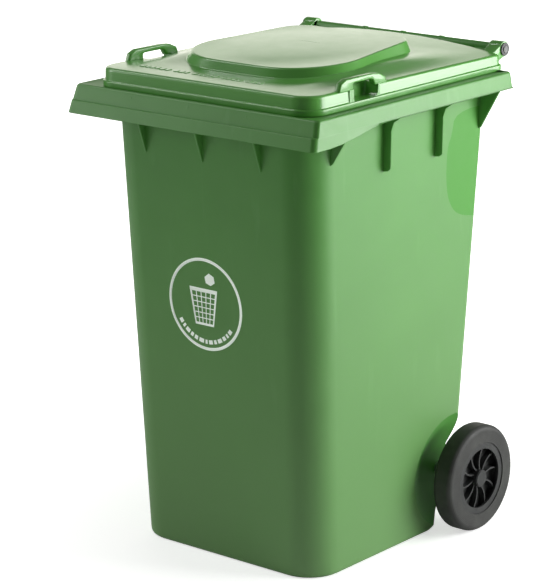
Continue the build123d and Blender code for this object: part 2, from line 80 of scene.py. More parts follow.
def wall_rear(z):
    """Y of the tub's rear wall at a height."""
    return FOOT_REAR + TAPER_REAR * z / TAPER_HEIGHT


def plan(half, front, rear, corner_front, corner_rear):
    """Points of a rounded plan outline, anticlockwise from the left end of the front edge."""
    corners = [
        ((half - corner_front, front + corner_front), corner_front, -90, ACROSS_STEPS),
        ((half - corner_rear, rear - corner_rear), corner_rear, 0, ALONG_STEPS),
        ((corner_rear - half, rear - corner_rear), corner_rear, 90, ACROSS_STEPS),
        ((corner_front - half, front + corner_front), corner_front, 180, ALONG_STEPS),
    ]
    points = []
    for (x, y), radius, start, steps in corners:
        arcs = []
        for step in range(CORNER_STEPS + 1):
            angle = math.radians(start + 90 * step / CORNER_STEPS)
            arcs.append((x + radius * math.cos(angle), y + radius * math.sin(angle)))
        if points:
            last = points[-1]
        else:
            last = (corner_front - half, front)
            points.append(last)
        for step in range(1, steps):
            part = step / steps
            x_step = (arcs[0][0] - last[0]) * part
            y_step = (arcs[0][1] - last[1]) * part
            points.append((last[0] + x_step, last[1] + y_step))
        points.extend(arcs)
    return points[:-1]


def place_ring(ring, points, height):
    """Puts a ring of vertices on plan points; height is a number or a function of x and y."""
    for vert, (x, y) in zip(ring, points):
        vert.co = (x, y, height(x, y) if callable(height) else height)


def skin(hoops):
    """A closed skin drawn up through hoops of plan points and heights, in order."""
    mesh = bmesh.new()
    ring = bmesh.ops.create_circle(mesh, segments=len(hoops[0][0]), radius=1.0)["verts"]
    place_ring(ring, *hoops[0])
    first = ring
    for points, height in hoops[1:]:
        edges = [mesh.edges.get((one, two)) for one, two in zip(ring, ring[1:] + ring[:1])]
        grown = bmesh.ops.extrude_edge_only(mesh, edges=edges)["geom"]
        fresh = {item for item in grown if isinstance(item, bmesh.types.BMVert)}
        ring = [next(e.other_vert(v) for e in v.link_edges if e.other_vert(v) in fresh) for v in ring]
        place_ring(ring, points, height)
    for end in (first, ring):
        edges = [mesh.edges.get((one, two)) for one, two in zip(end, end[1:] + end[:1])]
        bmesh.ops.edgeloop_fill(mesh, edges=edges)
    bmesh.ops.recalc_face_normals(mesh, faces=mesh.faces[:])
    if mesh.calc_volume(signed=True) < 0:
        bmesh.ops.reverse_faces(mesh, faces=mesh.faces[:])
    return mesh


def piece_of(name, mesh):
    """An object from a mesh under construction, smooth but for its sharp edges."""
    data = bpy.data.meshes.new(name)
    for edge in mesh.edges:
        edge.smooth = len(edge.link_faces) == 2 and edge.calc_face_angle(0.0) < SHARP_EDGE
    for face in mesh.faces:
        face.smooth = True
    mesh.to_mesh(data)
    mesh.free()
    piece = bpy.data.objects.new(name, data)
    bpy.context.scene.collection.objects.link(piece)
    return piece


def settle(piece):
    """Applies a piece's modifiers to its mesh."""
    bpy.context.view_layer.update()
    graph = bpy.context.evaluated_depsgraph_get()
    done = bpy.data.meshes.new_from_object(piece.evaluated_get(graph))
    piece.modifiers.clear()
    piece.data = done


def carve(piece, cutter, operation="DIFFERENCE"):
    """Cuts one solid out of another, or joins it on, and throws the cutter away."""
    cut = piece.modifiers.new("carve", "BOOLEAN")
    cut.operation = operation
    cut.solver = "EXACT"
    cut.object = cutter
    settle(piece)
    bpy.data.objects.remove(cutter)


def gathered(parts):
    """One mesh that holds several separate shapes."""
    whole = bmesh.new()
    for part in parts:
        loose = bpy.data.meshes.new("loose")
        part.to_mesh(loose)
        part.free()
        whole.from_mesh(loose)
        bpy.data.meshes.remove(loose)
    return whole


def span(side, near, far):
    """Two places across the bin on its left (-1) or right (1) side, the lower one first."""
    return sorted((side * near, side * far))


def slab(points, axis, low, high):
    """A prism: points drawn in the plane square to x or y, between two places along that axis."""
    mesh = bmesh.new()
    order = {"x": lambda a, b, c: (c, a, b), "y": lambda a, b, c: (a, c, b)}[axis]
    verts = [mesh.verts.new(order(a, b, low)) for a, b in points]
    face = mesh.faces.new(verts)
    grown = bmesh.ops.extrude_face_region(mesh, geom=[face])
    raised = [item for item in grown["geom"] if isinstance(item, bmesh.types.BMVert)]
    bmesh.ops.translate(mesh, verts=raised, vec=order(0.0, 0.0, high - low))
    bmesh.ops.recalc_face_normals(mesh, faces=mesh.faces[:])
    return mesh


def round_edges(mesh, width, segments=3, over=30.0):
    """Rounds every edge of a mesh under construction that turns by more than some degrees."""
    least = math.radians(over)
    edges = [edge for edge in mesh.edges if len(edge.link_faces) == 2 and edge.calc_face_angle(0.0) > least]
    bmesh.ops.bevel(mesh, geom=edges, offset=width, segments=segments, profile=0.5, affect="EDGES",
                    clamp_overlap=True, material=-1)
    return mesh


ACROSS = Matrix.Rotation(math.pi / 2, 3, "Y")


def drum(radius, low_x, high_x, centre, edge=0.0, steps=40):
    """A cylinder across the bin, with rounded rims."""
    mesh = bmesh.new()
    length = high_x - low_x
    bmesh.ops.create_cone(mesh, cap_ends=True, segments=steps, radius1=radius, radius2=radius, depth=length)
    bmesh.ops.rotate(mesh, verts=mesh.verts[:], cent=(0, 0, 0), matrix=ACROSS)
    bmesh.ops.translate(mesh, verts=mesh.verts[:], vec=((low_x + high_x) / 2, centre[1], centre[2]))
    if edge:
        round_edges(mesh, edge, over=60.0)
    return mesh


RECESS_SPREAD = 1.9
RECESS_FLATTENED = 0.93


def recess_cone(inner, low_x, high_x):
    """A flattened cone about the axle's line, widening outwards from its inner radius."""
    length = high_x - low_x
    mesh = bmesh.new()
    wide = inner + RECESS_SPREAD * length
    start, end = (inner, wide) if high_x > 0 else (wide, inner)
    bmesh.ops.create_cone(mesh, cap_ends=True, segments=ROUND_STEPS, radius1=start, radius2=end, depth=length)
    bmesh.ops.rotate(mesh, verts=mesh.verts[:], cent=(0, 0, 0), matrix=ACROSS)
    bmesh.ops.scale(mesh, verts=mesh.verts[:], vec=(1.0, 1.0, RECESS_FLATTENED))
    bmesh.ops.translate(mesh, verts=mesh.verts[:], vec=((low_x + high_x) / 2, AXLE.y, AXLE.z))
    return mesh


def softened(points):
    """A closed outline with its corners cut twice over, so that it curves."""
    for turn in range(2):
        cut = []
        for (a, b), (c, d) in zip(points, points[1:] + points[:1]):
            cut += [(0.75 * a + 0.25 * c, 0.75 * b + 0.25 * d), (0.25 * a + 0.75 * c, 0.25 * b + 0.75 * d)]
        points = cut
    return points


def tub_plan(z, inset=0.0):
    """The tub's plan outline at a height."""
    return plan(wall_side(z) - inset, wall_front(z) + inset, wall_rear(z) - inset,
                FRONT_CORNER - inset, REAR_CORNER - inset)


def collar_plan(z, out=0.0, corner=0.012, set_back=0.0):
    """The collar's outer outline at a height, moved outwards, with its front face set back."""
    flare = (RIM_Z - z) / FLARE_HEIGHT
    front = RIM_FRONT - FLARE["front"] * flare - out
    outline = plan(RIM_HALF + FLARE["side"] * flare + out, front, RIM_REAR + FLARE["rear"] * flare + out,
                   corner, corner)
    return [(x, y + set_back * min(1.0, max(0.0, (front + corner - y) / corner))) for x, y in outline]


def apron_depth(x, y):
    """Height of the skirt's lower edge: deep across the front, then rising in a soft step along each side."""
    stops = [(-0.335, SKIRT_BOTTOM), (-0.305, 0.9414), (-0.258, 0.9465), (-0.226, 0.9525), (-0.194, 0.9585),
             (-0.162, 0.9637), (-0.129, 0.9652), (-0.100, 0.9655)]
    if y <= stops[0][0]:
        return stops[0][1]
    for (y0, z0), (y1, z1) in zip(stops, stops[1:]):
        if y <= y1:
            return z0 + (z1 - z0) * (y - y0) / (y1 - y0)
    return stops[-1][1]


def collar_hoop(z, out, lift=0.0, set_back=0.0):
    """A hoop of the collar at a fixed height, or at lift above the skirt's lower edge where z is None."""
    if z is not None:
        return collar_plan(z, out, set_back=set_back), z
    return collar_plan(SKIRT_BOTTOM + lift, out), lambda x, y: apron_depth(x, y) + lift


# Hoops for the tub's skin: from the foot up the wall, out under the collar, down its inside and up its face.
tub_hoops = [
    (tub_plan(0.0, 0.0100), 0.0), (tub_plan(0.0, 0.0052), 0.0008), (tub_plan(0.0, 0.0018), 0.0036),
    (tub_plan(0.0, 0.0004), 0.0072), (tub_plan(0.012), 0.012), (tub_plan(0.25), 0.25), (tub_plan(0.50), 0.50),
    (tub_plan(0.75), 0.75), (tub_plan(0.985), 0.985), (tub_plan(0.9888, -0.0004), 0.9888),
    (tub_plan(PLATE_UNDER, -0.0012), PLATE_UNDER),
    (collar_plan(PLATE_UNDER, -0.0062, 0.009), PLATE_UNDER),
    (collar_plan(0.9885, -SKIRT_WALL, 0.009), 0.9885),
    collar_hoop(None, -SKIRT_WALL, 0.0010), collar_hoop(None, -SKIRT_WALL + 0.001, 0.0),
    collar_hoop(None, -0.0012, 0.0), collar_hoop(None, -0.0002, 0.0010), collar_hoop(0.9658, 0.0002),
    collar_hoop(0.9669, 0.0002, set_back=0.0004), collar_hoop(0.9677, 0.0, set_back=0.0014),
    collar_hoop(0.9684, 0.0, set_back=0.0042), collar_hoop(0.9945, 0.0, set_back=0.0040),
    collar_hoop(0.9975, -0.0006, set_back=0.0040), collar_hoop(0.9992, -0.0020, set_back=0.0040),
    (collar_plan(1.0, -0.0042, 0.009, 0.0036), RIM_Z), (collar_plan(1.0, -0.0078, 0.008, 0.0028), 0.9998),
    (plan(**SEAT), SEAT_Z),
]
container = piece_of("container_moulding", skin(tub_hoops))

# The inside, less the walls that stand behind the wheel recesses and the axle's channel.
RECESS_INNER, RECESS_FLOOR_X, RECESS_OUT_X = 0.0600, 0.2130, 0.2800
RECESS_BACK_INNER, RECESS_BACK_X = 0.0573, 0.2065
CHANNEL_HALF, CHANNEL_BACK_HALF = 0.203, 0.2125
hollow = piece_of("hollow", skin([(tub_plan(z, WALL), z) for z in (TUB_FLOOR, 0.25, 0.5, 0.75, 1.01)]))
for side in (-1, 1):
    cone = recess_cone(RECESS_BACK_INNER, *span(side, RECESS_BACK_X, 0.3000))
    carve(hollow, piece_of("recess_wall", cone))
channel_shell = [(0.110, -0.01), (0.110, 0.018), (0.1692, 0.048), (0.1692, 0.153), (0.278, 0.2108),
                 (0.278, -0.01)]
carve(hollow, piece_of("channel_wall", slab(channel_shell, "x", -CHANNEL_BACK_HALF, CHANNEL_BACK_HALF)))
carve(container, hollow)

# The wheel recesses, the raised heel and the channel that the axle lies in.
for side in (-1, 1):
    cone = recess_cone(RECESS_INNER, *span(side, RECESS_FLOOR_X, RECESS_OUT_X))
    carve(container, piece_of("wheel_recess", cone))
heel = [(0.1222, -0.01), (0.1222, 0.003), (0.136, 0.0095), (0.150, 0.0190), (0.164, 0.0300), (0.180, 0.0400),
        (0.205, 0.0500), (0.240, 0.0580), (0.300, 0.0640), (0.300, -0.01)]
carve(container, piece_of("heel", slab(heel, "x", -0.5, 0.5)))
channel = [(0.1742, -0.01), (0.1742, 0.148), (0.278, 0.2051), (0.278, -0.01)]
carve(container, piece_of("channel", slab(channel, "x", -CHANNEL_HALF, CHANNEL_HALF)))
carve(container, piece_of("axle_bore", drum(AXLE_BORE, -0.25, 0.25, AXLE, steps=32)))

# A shallow recessed panel high on each side, open towards the rear.
PANEL_DEPTH = 0.0018
panel = [(0.174, 0.927), (0.165, 0.879), (0.149, 0.854), (0.149, 0.763), (0.173, 0.715), (0.214, 0.694),
         (0.320, 0.676), (0.320, 0.927)]
for side in (-1, 1):
    recess = slab(softened(panel), "x", 0.0, 0.1)
    for vert in recess.verts:
        vert.co.x = side * (vert.co.x + wall_side(vert.co.z) - PANEL_DEPTH)
    bmesh.ops.recalc_face_normals(recess, faces=recess.faces[:])
    carve(container, piece_of("panel_recess", recess))

# The recessed panels and the wheel recesses are painted a deeper, more saturated green, painted shade where
# they show no sheen, and are made a little rougher. The edge between the recesses and the rest stays crisp.
RECESS_RIM = 0.137
shaded_recess = container.data.attributes.new("shaded_recess", "FLOAT", "FACE")
for face in container.data.polygons:
    x, y, z = abs(face.center.x), face.center.y, face.center.z
    in_panel = 0.14 < y < 0.31 and 0.67 < z < 0.93 and abs(x - wall_side(z) + PANEL_DEPTH) < 0.0008
    from_axle = math.hypot(y - AXLE.y, (z - AXLE.z) / RECESS_FLATTENED)
    in_recess = RECESS_FLOOR_X - 0.0005 < x < wall_side(z) - 0.0010 and from_axle < RECESS_RIM
    if in_panel or in_recess:
        shaded_recess.data[face.index].value = 1.0
shades_met = {}
for face in container.data.polygons:
    for key in face.edge_keys:
        shades_met.setdefault(key, set()).add(shaded_recess.data[face.index].value)
for edge in container.data.edges:
    if len(shades_met[edge.key]) == 2:
        edge.use_edge_sharp = True

# Ribs: three under the front of the skirt, and four down each side, two long and two short.
UNDER_COLLAR = 0.9905
RIB_WIDE = 0.0185
RIB_HALF, FRONT_RIB_HALF = 0.002, 0.0022
RIB_EDGE = 0.0007
ribs = []
for x in (-0.165, -0.010, 0.145):
    profile = [(wall_front(0.868) + 0.002, 0.868), (wall_front(0.990) + 0.002, UNDER_COLLAR),
               (-0.3505, UNDER_COLLAR), (-0.3560, 0.966), (wall_front(0.944) - 0.024, 0.944),
               (wall_front(0.872) - 0.001, 0.868)]
    ribs.append(slab(profile, "x", x - FRONT_RIB_HALF, x + FRONT_RIB_HALF))
for side in (-1, 1):
    for y in (-0.069, 0.108):
        profile = [(wall_side(0.843) - 0.002, 0.843), (wall_side(0.850) + RIB_WIDE * 0.6, 0.845),
                   (wall_side(0.850) + RIB_WIDE, 0.851), (wall_side(0.930) + RIB_WIDE, 0.930),
                   (wall_side(0.945) + RIB_WIDE + 0.006, 0.948), (0.3262, 0.968), (0.3245, UNDER_COLLAR),
                   (0.270, UNDER_COLLAR)]
        ribs.append(slab([(side * a, b) for a, b in profile], "y", y - RIB_HALF, y + RIB_HALF))
    for y, foot, top in ((-0.241, 0.885, 0.3275), (0.265, 0.877, 0.3262)):
        profile = [(wall_side(foot) - 0.002, foot), (wall_side(foot + 0.006) + 0.004, foot + 0.004),
                   (top, 0.967), (0.3245, UNDER_COLLAR), (0.270, UNDER_COLLAR)]
        ribs.append(slab([(side * a, b) for a, b in profile], "y", y - RIB_HALF, y + RIB_HALF))
ribs = [round_edges(rib, RIB_EDGE, segments=2) for rib in ribs]
container_ribs = piece_of("container_ribs", gathered(ribs))

# Inner axle brackets, then the handle bar behind the rim, which two hinge arms and three webs hold. The bar
# has a bead at each web.
HINGE = Vector((0.0, 0.353, 1.035))
BAR_RADIUS = 0.011
BAR_HALF = 0.238
BRACKET_X, BRACKET_HALF = 0.090, 0.005
ARM_INNER = 0.202
WEB_HALF = 0.0035
BEAD_RADIUS, BEAD_HALF = 0.0124, 0.005
MOULD_EDGE = 0.0015
WEB_PLACES = (-0.105, 0.0, 0.105)
rear_parts = []
bracket = [(0.1715, 0.084), (0.1715, 0.150), (0.2242, 0.1795), (0.2242, 0.096)]
for x in (-BRACKET_X, BRACKET_X):
    rear_parts.append(slab(bracket, "x", x - BRACKET_HALF, x + BRACKET_HALF))
arm = [(0.3055, 0.966), (0.3055, 0.988), (0.3315, 0.988), (0.3315, 1.024), (0.3440, 1.037), (0.3440, 1.013),
       (0.3374, 1.003), (0.3374, 0.974), (0.3320, 0.966)]
for side in (-1, 1):
    rear_parts.append(slab(arm, "x", *span(side, ARM_INNER, BAR_HALF)))
for x in WEB_PLACES:
    rear_parts.append(slab(arm, "x", x - WEB_HALF, x + WEB_HALF))
rear_parts = [round_edges(part, MOULD_EDGE, segments=2) for part in rear_parts]
rear_parts.append(drum(BAR_RADIUS, -BAR_HALF, BAR_HALF, HINGE, edge=0.002))
for x in WEB_PLACES:
    rear_parts.append(drum(BEAD_RADIUS, x - BEAD_HALF, x + BEAD_HALF, HINGE, edge=0.001))
container_handle = piece_of("container_handle", gathered(rear_parts))

# The moulding's edges are a little rounded.
soft = container.modifiers.new("soft", "BEVEL")
soft.width = MOULD_EDGE
soft.segments = 2
soft.limit_method = "ANGLE"
soft.angle_limit = math.radians(40)
soft.use_clamp_overlap = True
even = container.modifiers.new("even", "WEIGHTED_NORMAL")
even.keep_sharp = True


class Level:
    """A value that varies over a surface; sums and products of levels add their Math nodes."""

    def __init__(self, finish, socket):
        self.finish = finish
        self.socket = socket

    def joined(self, operation, first, second):
        """The level that a Math node makes of two."""
        node = self.finish.node("ShaderNodeMath", {"operation": operation}, {0: first, 1: second})
        return Level(self.finish, node.outputs[0])

    def __add__(self, other):
        return self.joined("ADD", self, other)

    __radd__ = __add__

    def __mul__(self, other):
        return self.joined("MULTIPLY", self, other)

    __rmul__ = __mul__


class Finish:
    """A material under construction: a Principled surface and what feeds it."""

    def __init__(self, name, **constants):
        self.material = bpy.data.materials.new(name)
        self.material.use_nodes = True
        self.tree = self.material.node_tree
        self.surface = self.tree.nodes["Principled BSDF"]
        for socket, value in constants.items():
            self.surface.inputs[socket.replace("_", " ")].default_value = value
        self.place = self.node("ShaderNodeTexCoord").outputs["Object"]

    def node(self, kind, settings=None, inputs=None):
        """Any node: its type, its settings, and the values or links of its sockets."""
        node = self.tree.nodes.new(kind)
        for name, value in (settings or {}).items():
            setattr(node, name, value)
        for name, value in (inputs or {}).items():
            value = value.socket if isinstance(value, Level) else value
            if isinstance(value, bpy.types.NodeSocket):
                self.tree.links.new(value, node.inputs[name])
            else:
                node.inputs[name].default_value = value
        return node

    def noise(self, scale, detail=2.0, stretch=None):
        """A cloudy level, drawn out where its coordinates are scaled down."""
        place = self.place
        if stretch:
            place = self.node("ShaderNodeMapping", {}, {"Vector": place, "Scale": stretch}).outputs[0]
        made = self.node("ShaderNodeTexNoise", {}, {"Vector": place, "Scale": scale, "Detail": detail})
        return Level(self, made.outputs["Fac"])

    def painted(self, name):
        """A level stored on the piece's own faces."""
        return Level(self, self.node("ShaderNodeAttribute", {"attribute_name": name}).outputs["Fac"])

    def between(self, level, low, high, dark, light):
        """A colour that runs from dark to light as the level runs from low to high."""
        ranged = self.node("ShaderNodeMapRange", {}, {"Value": level, "From Min": low, "From Max": high})
        mixed = self.node("ShaderNodeMix", {"data_type": "RGBA"}, {0: ranged.outputs[0], 6: dark, 7: light})
        return mixed.outputs[2]

    def feed(self, socket, source):
        """Links a level or a colour to the surface."""
        source = source.socket if isinstance(source, Level) else source
        self.tree.links.new(source, self.surface.inputs[socket])

    def relief(self, height, strength, distance, under=None):
        """A normal raised by a level, over another normal where one is given."""
        inputs = {"Height": height, "Strength": strength, "Distance": distance}
        if under:
            inputs["Normal"] = under
        return self.node("ShaderNodeBump", {}, inputs).outputs[0]


GREEN_DEEP = (0.080, 0.285, 0.047, 1.0)
GREEN = (0.094, 0.320, 0.056, 1.0)
GREEN_SCUFFED = (0.112, 0.335, 0.074, 1.0)
GREEN_PALE_LOW = (0.142, 0.300, 0.100, 1.0)
GREEN_RECESS_SHADE = (0.060, 0.290, 0.025, 1.0)
tub_plastic = Finish("tub polyethylene", Roughness=0.42, Specular_IOR_Level=0.5)
cloud = tub_plastic.noise(5.0, 3.0)
grained = tub_plastic.between(cloud, 0.3, 0.7, GREEN_DEEP, GREEN)
scuff = tub_plastic.noise(26.0, 6.0, (1.0, 1.0, 0.16))
scuffed = tub_plastic.between(scuff, 0.62, 0.80, grained, GREEN_SCUFFED)
# Paler and greyer towards the ground, blending upwards with a cloudy edge.
parted = tub_plastic.node("ShaderNodeSeparateXYZ", {}, {0: tub_plastic.place})
above_ground = Level(tub_plastic, parted.outputs["Z"])
height_blend = above_ground + 0.25 * tub_plastic.noise(3.0, 4.0)
scuffed = tub_plastic.between(height_blend, 0.10, 1.00, GREEN_PALE_LOW, scuffed)
# Recess faces get a deeper, more saturated green, painted shade where they show no sheen; they are also
# rougher.
recess_shade = tub_plastic.painted("shaded_recess")
tub_plastic.feed("Base Color", tub_plastic.between(recess_shade, 0.0, 1.0, scuffed, GREEN_RECESS_SHADE))
tub_plastic.feed("Roughness", 0.36 + 0.10 * tub_plastic.noise(40.0, 3.0) + 0.18 * recess_shade)
grain = tub_plastic.relief(tub_plastic.noise(900.0, 2.0), 0.10, 0.0002)
tub_plastic.feed("Normal", tub_plastic.relief(tub_plastic.noise(7.0, 1.0), 0.25, 0.004, grain))
for piece in (container, container_ribs, container_handle):
    piece.data.materials.clear()
    piece.data.materials.append(tub_plastic.material)
    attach(piece, "bin")
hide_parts("container")

# ================================================================ Lid
# A one-piece lid of glossier polyethylene, injected like the tub: a flange that rests on the collar, an
# upright edge above it, a raised pad in the middle, a lifting grip over a pocket at each side, and two
# knuckles that turn on the hinge pins.

LID_GREEN_DEEP = (0.095, 0.350, 0.050, 1.0)
LID_GREEN = (0.110, 0.390, 0.060, 1.0)
GRIP_INNER, GRIP_OUTER = 0.2745, 0.2890
KNUCKLE_INNER, KNUCKLE_OUTER = 0.2400, 0.2720
KNUCKLE_RADIUS = 0.0169
DASH_Y = -0.2660
DASH_LONG, DASH_TALL = 0.0135, 0.0036
DASH_GAP, GROUP_GAP = 0.0036, 0.0105
LID = {"half": 0.2931, "front": -0.3304, "rear": 0.3285, "corner_front": 0.055, "corner_rear": 0.025}
PAD = {"half": 0.200, "front": -0.206, "rear": 0.190, "corner_front": 0.128, "corner_rear": 0.060}
CROWN_FRONT, CROWN_REAR = 0.0050, 0.0130
PAD_DOME = 0.006
BLOCK_INNER, BLOCK_OUTER = 0.2470, 0.2900
POCKET_INNER, POCKET_OUTER = 0.2560, 0.3100


def lid_plan(inset):
    """The lid's plan outline moved inwards."""
    return plan(LID["half"] - inset, LID["front"] + inset, LID["rear"] - inset,
                max(LID["corner_front"] - inset, 0.01), max(LID["corner_rear"] - inset, 0.008))


def pad_plan(inset):
    """The raised pad's outline: broad and round at the front, narrower towards the hinge."""
    points = plan(PAD["half"] - inset, PAD["front"] + inset, PAD["rear"] - inset,
                  PAD["corner_front"] - inset * 0.6, PAD["corner_rear"] - inset * 0.4)
    return [(x * (1.0 - 0.95 * max(0.0, y + 0.06) * (1.0 - 0.6 * max(0.0, y + 0.06))), y) for x, y in points]


def merged(outer, inner, part):
    """A plan outline part of the way from one outline to another."""
    return [(a + (c - a) * part, b + (d - b) * part) for (a, b), (c, d) in zip(outer, inner)]


def edge_height(x, y):
    """Height of the lid's upper edge, which falls a little towards the hinge."""
    return 1.0368 - 0.0055 * (y + 0.330) / 0.66


def lid_top(x, y):
    """Height of the lid's top: crowned towards the hinge, and dished a little round the raised pad."""
    across = max(0.0, 1.0 - (x / 0.279) ** 2)
    forward = max(0.0, 1.0 - (min(y, 0.0) / 0.3164) ** 2)
    rearward = 0.5 + 0.5 * math.sin(math.pi * max(-0.5, min(0.5, (y - 0.05) / 0.46)))
    near_pad = 0.5 + 0.5 * math.cos(math.pi * min(1.0, abs(y + 0.02) / 0.30))
    near_pad *= 0.5 + 0.5 * math.cos(math.pi * min(1.0, max(0.0, (abs(x) - 0.20) / 0.07)))
    saddle = -0.0070 + 0.0190 * min(1.0, abs(x) / 0.20) ** 2
    return edge_height(x, y) + across * (CROWN_FRONT * forward + CROWN_REAR * rearward) + near_pad * saddle


def pad_edge(x, y):
    """Height of the pad's upper edge."""
    return 1.0575 + 0.030 * (y + 0.19) + 0.08 * x * x


def pad_top(x, y):
    """Height of the pad's top: a shallow dome inside its edge."""
    return pad_edge(x, y) + PAD_DOME * (1.0 - min(1.0, (x / 0.17) ** 2 + (y / 0.19) ** 2))


def lifted(surface, rise):
    """A surface moved up."""
    return lambda x, y: surface(x, y) + rise


inner_edge = lid_plan(0.0200)
pad_foot = pad_plan(-0.0092)
# Hoops for the lid's skin: from under the pad out to the flange, up its edge and in over the top.
lid_hoops = [
    (pad_plan(0.150), 1.0570), (pad_plan(0.020), lifted(lid_top, 0.0140)),
    (pad_plan(0.006), lifted(lid_top, 0.0100)), (pad_plan(0.004), lifted(lid_top, -0.0030)),
    (pad_plan(-0.004), lifted(lid_top, -0.0046)), (lid_plan(0.0140), 1.0300), (lid_plan(0.0095), 1.0280),
    (lid_plan(0.0085), 1.0240), (lid_plan(0.0060), 1.0120), (lid_plan(0.0042), 1.0080),
    (lid_plan(0.0040), 0.9990), (lid_plan(0.0034), 0.9974),
    (lid_plan(0.0010), 0.9970), (lid_plan(0.0002), 0.9980), (lid_plan(0.0), 1.0000),
    (lid_plan(0.0), 1.0076), (lid_plan(0.0004), 1.0088), (lid_plan(0.0016), 1.0098),
    (lid_plan(0.0034), 1.0101), (lid_plan(0.0042), 1.0106),
    (lid_plan(0.0046), 1.0124), (lid_plan(0.0052), lifted(lid_top, -0.0066)),
    (lid_plan(0.0060), lifted(lid_top, -0.0036)), (lid_plan(0.0078), lifted(lid_top, -0.0014)),
    (lid_plan(0.0104), lifted(lid_top, -0.0003)), (lid_plan(0.0140), lid_top),
    (inner_edge, lid_top),
]
for part in (0.2, 0.4, 0.6, 0.8):
    lid_hoops.append((merged(inner_edge, pad_foot, part), lid_top))
lid_hoops += [
    (pad_foot, lid_top), (pad_plan(-0.0075), lifted(lid_top, 0.0007)),
    (pad_plan(-0.0062), lifted(lid_top, 0.0022)),
    (pad_plan(0.0006), lifted(pad_edge, -0.0032)), (pad_plan(0.0018), lifted(pad_edge, -0.0012)),
    (pad_plan(0.0042), lifted(pad_edge, -0.0001)), (pad_plan(0.0070), pad_edge),
]
for inset in (0.025, 0.050, 0.080, 0.110, 0.140, 0.165):
    lid_hoops.append((pad_plan(inset), pad_top))
lid = piece_of("lid_moulding", skin(lid_hoops))

# Each grip stands over a pocket in the lid's side, which is sunk in a block under the top.
pocket_block = [(-0.204, 1.0030), (-0.204, 1.0340), (-0.106, 1.0340), (-0.106, 1.0030)]
pocket_outline = [(-0.190, 1.0090), (-0.191, 1.0600), (-0.118, 1.0600), (-0.110, 1.0400), (-0.113, 1.0150),
                  (-0.121, 1.0090)]
strap_outline = [(-0.236, 1.0320), (-0.229, 1.0500), (-0.212, 1.0570), (-0.128, 1.0570), (-0.106, 1.0545),
                 (-0.086, 1.0460), (-0.080, 1.0320)]
hand_hole = [(-0.191, 1.0200), (-0.191, 1.0440), (-0.187, 1.0465), (-0.133, 1.0465), (-0.126, 1.0440),
             (-0.112, 1.0200)]
straps = []
for side in (-1, 1):
    block = slab(pocket_block, "x", *span(side, BLOCK_INNER, BLOCK_OUTER))
    carve(lid, piece_of("pocket_block", block), "UNION")
    pocket = slab(pocket_outline, "x", *span(side, POCKET_INNER, POCKET_OUTER))
    carve(lid, piece_of("pocket", round_edges(pocket, 0.005)))
    strap = piece_of("strap", slab(strap_outline, "x", *span(side, GRIP_INNER, GRIP_OUTER)))
    carve(strap, piece_of("hand_hole", slab(hand_hole, "x", -0.4, 0.4)))
    strap_mesh = bmesh.new()
    strap_mesh.from_mesh(strap.data)
    bpy.data.objects.remove(strap)
    straps.append(round_edges(strap_mesh, 0.0030, over=50.0))
lid_grips = piece_of("lid_grips", gathered(straps))

# The knuckles: a lug from the lid's rear corner and a barrel round the hinge pin.
lug = [(0.2945, 1.0290), (0.3200, 1.0350), (0.353, 1.0518), (0.353, 1.0182), (0.3265, 1.0090)]
knuckles = []
for side in (-1, 1):
    low, high = span(side, KNUCKLE_INNER, KNUCKLE_OUTER)
    knuckles.append(round_edges(slab(lug, "x", low, high), 0.0025, segments=2))
    knuckles.append(drum(KNUCKLE_RADIUS, low, high, HINGE, edge=0.0018))
lid_knuckles = piece_of("lid_knuckles", gathered(knuckles))

# A line of low moulded dashes near the front edge, where such lids carry their marking.
dashes = bmesh.new()
dash_x = -0.212
for group in ((0.012, 0.008, 0.011, 0.009, 0.012, 0.010), (0.009, 0.012, 0.008),
              (0.011, 0.010, 0.012, 0.007, 0.010), (0.008, 0.012, 0.010, 0.011), (0.012, 0.009, 0.011)):
    for width in group:
        made = bmesh.ops.create_cube(dashes, size=1.0)["verts"]
        bmesh.ops.scale(dashes, verts=made, vec=(width, DASH_LONG, DASH_TALL))
        x = dash_x + width / 2
        bmesh.ops.translate(dashes, verts=made, vec=(x, DASH_Y, lid_top(x, DASH_Y) - 0.0006))
        dash_x += width + DASH_GAP
    dash_x += GROUP_GAP
round_edges(dashes, 0.0006, segments=1)
lid_dashes = piece_of("lid_dashes", dashes)

# The lid's edges are rounded like the tub's.
lid_soft = lid.modifiers.new("soft", "BEVEL")
lid_soft.width = MOULD_EDGE
lid_soft.segments = 2
lid_soft.limit_method = "ANGLE"
lid_soft.angle_limit = math.radians(50)
lid_even = lid.modifiers.new("even", "WEIGHTED_NORMAL")
lid_even.keep_sharp = True

lid_plastic = Finish("lid polyethylene", Roughness=0.3, Coat_Weight=0.6, Coat_Roughness=0.16)
cloud = lid_plastic.noise(5.0, 3.0)
lid_plastic.feed("Base Color", lid_plastic.between(cloud, 0.3, 0.7, LID_GREEN_DEEP, LID_GREEN))
lid_plastic.feed("Roughness", 0.27 + 0.10 * lid_plastic.noise(30.0, 3.0))
grain = lid_plastic.relief(lid_plastic.noise(900.0, 2.0), 0.06, 0.0002)
lid_plastic.feed("Normal", lid_plastic.relief(lid_plastic.noise(6.0, 1.0), 0.25, 0.004, grain))
for piece in (lid, lid_grips, lid_knuckles, lid_dashes):
    piece.data.materials.clear()
    piece.data.materials.append(lid_plastic.material)
    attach(piece, "lid")
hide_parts("lid")

# ================================================================ Wheels
# Each wheel is a spoked black polypropylene centre with a solid rubber tyre pressed over it, a pale nylon
# bush in its bore and a cap clipped over the end of the axle. The tyre's sides carry faint turned rings.


def coat(finish, *names):
    """Gives the finish to pieces that keep the shape they were designed with."""
    for name in names:
        nodes[name].data.materials[0] = finish.material


def both(*names):
    """The left and the right piece of each kind."""
    return [name + side for name in names for side in ("_left", "_right")]


